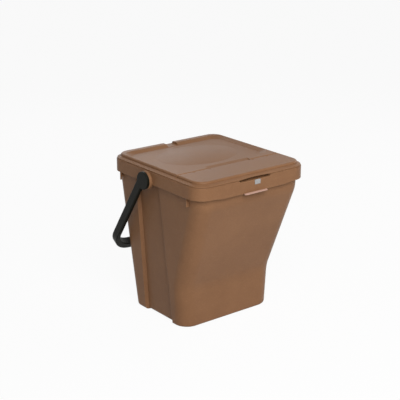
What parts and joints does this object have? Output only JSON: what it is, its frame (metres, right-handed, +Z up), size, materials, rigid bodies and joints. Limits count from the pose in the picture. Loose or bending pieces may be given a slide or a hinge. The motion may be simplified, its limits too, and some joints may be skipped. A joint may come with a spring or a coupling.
{
  "type": "trash can",
  "caption": "Square-plan plastic waste bin with a set-back front wall, a rear-hinged lid with a folding front flap, and a black carrying bail.",
  "frame": {"origin": "On the floor, under the middle of the rim band's plan.", "axes": "+Z up; the front with the flap and the finger slot faces -Y; +X is to the right when seen from the front."},
  "size_m": [0.416, 0.4295, 0.456],
  "materials": {
    "brown_plastic": "satin moulded polypropylene",
    "black_plastic": "satin moulded polypropylene",
    "pale_plastic": "smooth",
    "pin_plastic": "smooth"
  },
  "bodies": {
    "bin": {"tub": "brown_plastic", "front_insert": "pale_plastic", "lid_hinge_pin_left": "pin_plastic", "lid_hinge_pin_right": "pin_plastic"},
    "lid": {"lid_panel": "brown_plastic"},
    "flap": {"front_flap": "brown_plastic", "flap_hinge_pin_left": "pin_plastic", "flap_hinge_pin_right": "pin_plastic"},
    "bail": {"bail_handle": "black_plastic"}
  },
  "joints": [
    {"name": "lid_hinge", "type": "hinge", "parent": "bin", "child": "lid", "pos_m": [0, 0.211, 0.44], "axis": [-1, 0, 0], "range_deg": [0, 105]},
    {"name": "flap_hinge", "type": "hinge", "parent": "lid", "child": "flap", "pos_m": [0, -0.1003, 0.452], "axis": [-1, 0, 0], "range_deg": [0, 100]},
    {"name": "bail_swing", "type": "hinge", "parent": "bin", "child": "bail", "pos_m": [0, 0.0265, 0.416], "axis": [1, 0, 0], "range_deg": [0, 285]}
  ]
}
